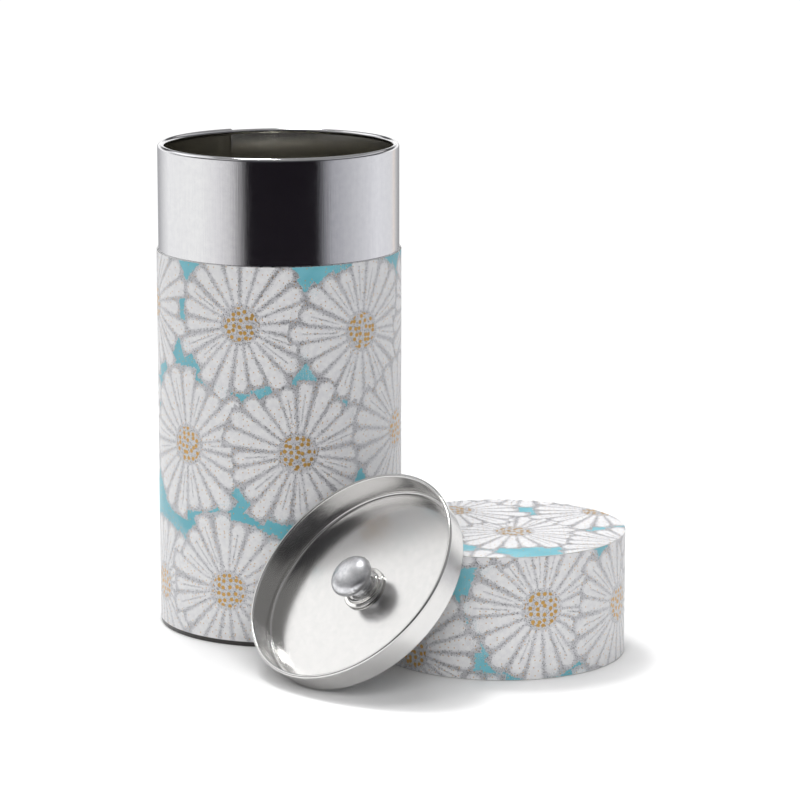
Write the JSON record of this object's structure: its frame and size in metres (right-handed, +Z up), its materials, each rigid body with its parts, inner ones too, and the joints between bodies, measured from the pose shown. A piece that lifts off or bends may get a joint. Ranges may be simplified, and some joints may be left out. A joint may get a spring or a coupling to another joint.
{
  "type": "tea caddy",
  "caption": "Tall round tea canister of papered tinplate with a bare rolled collar, its papered slip-on outer cap and its knobbed inner lid set down beside it.",
  "frame": {"origin": "centre of the canister's foot, on the surface it stands on", "axes": "+Z up along the canister's axis; the pictured front looks along +Y with +X to the right, so the outer cap stands to the right and front and the inner lid leans in front between them"},
  "size_m": [0.148, 0.1434, 0.1549],
  "materials": {
    "tinplate": "bright tinplate with fine upright brushing",
    "tinplate_inside": "dull grey-olive tinplate inside",
    "lid_tinplate": "near-mirror tinplate",
    "polished_steel": "polished",
    "satin_aluminium": "satin, slightly mottled",
    "foot_lacquer": "dark brown lacquer, semi-gloss",
    "printed_paper": "matt printed paper: large white daisies with silver shading and gold dots on turquoise"
  },
  "bodies": {
    "canister": {"base_plate": "foot_lacquer", "can_floor": "tinplate_inside", "inner_can": "tinplate", "body_sleeve": "tinplate", "body_paper": "printed_paper"},
    "outer_cap": {"cap_band": "tinplate_inside", "cap_crown": "tinplate_inside", "cap_side_paper": "printed_paper", "cap_top_paper": "printed_paper"},
    "inner_lid": {"lid_pan": "lid_tinplate", "knob_base": "polished_steel", "knob_head": "satin_aluminium", "rivet_washer": "lid_tinplate", "knob_rivet": "satin_aluminium"}
  },
  "joints": [
    {"name": "cap_lift", "type": "slide", "parent": "canister", "child": "outer_cap", "axis": [0, 0, 1], "range_m": [0, 0.16]},
    {"name": "lid_lift", "type": "slide", "parent": "outer_cap", "child": "inner_lid", "axis": [-0.5522, -0.4868, 0.6769], "range_m": [0, 0.08]}
  ]
}
